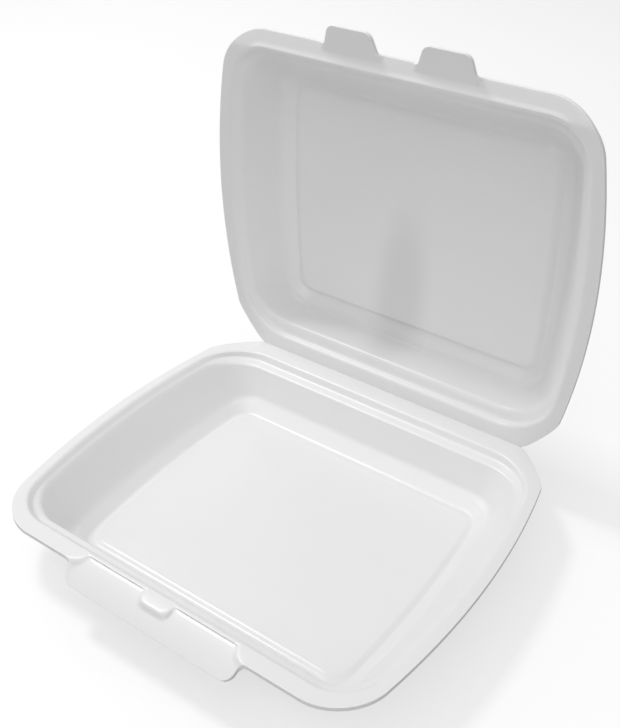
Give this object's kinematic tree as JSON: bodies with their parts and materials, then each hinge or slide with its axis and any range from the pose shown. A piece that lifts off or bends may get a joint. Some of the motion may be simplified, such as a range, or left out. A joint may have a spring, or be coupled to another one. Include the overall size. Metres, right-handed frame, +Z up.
{
  "type": "foam clamshell container",
  "caption": "Open foam clamshell meal box with a ledged rim, tapered walls, a living hinge, locking tabs on the lid and slots with a flap on the base.",
  "frame": {"origin": "under the middle of the open box's outline, on the surface that the base stands on", "axes": "+Z up, -Y towards the front of the base, where its slots and locking flap are, and X along the hinge fold; the open lid rises at the back"},
  "size_m": [0.24, 0.242, 0.2477],
  "materials": {
    "base_foam": "white extruded polystyrene foam with a smooth satin skin",
    "lid_foam": "white extruded polystyrene foam with a smooth satin skin"
  },
  "bodies": {
    "base": {"base": "base_foam"},
    "lid": {"lid": "lid_foam"}
  },
  "joints": [
    {"name": "lid_hinge", "type": "hinge", "parent": "base", "child": "lid", "pos_m": [0, 0.08899, 0.03475], "axis": [1, 0, 0], "range_deg": [-91, 89]}
  ]
}
